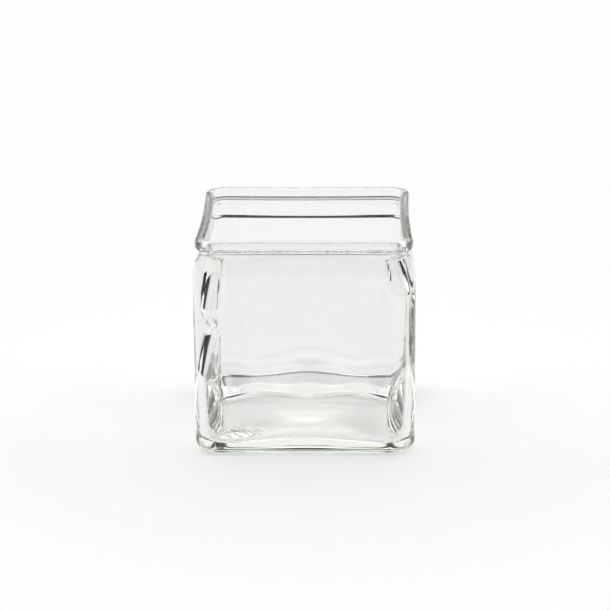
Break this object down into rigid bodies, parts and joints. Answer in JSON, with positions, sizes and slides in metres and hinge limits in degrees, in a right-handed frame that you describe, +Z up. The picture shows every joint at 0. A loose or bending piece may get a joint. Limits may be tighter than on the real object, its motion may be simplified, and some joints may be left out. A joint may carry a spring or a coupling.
{
  "type": "specimen jar",
  "caption": "Square open-topped specimen jar of clear moulded glass, with rounded corners, a shoulder and short neck under a round rim bead, and a thick floor that climbs to one side.",
  "frame": {"origin": "centre of the base, on the plane that the jar stands on", "axes": "+Z up through the mouth; +X and +Y square to the flat sides, +Y towards the side where the floor climbs"},
  "size_m": [0.102, 0.102, 0.102],
  "materials": {
    "clear_glass": "fire-polished clear glass with a faint green tint at thick edges"
  },
  "bodies": {
    "root": {"glass_jar": "clear_glass"}
  },
  "joints": []
}
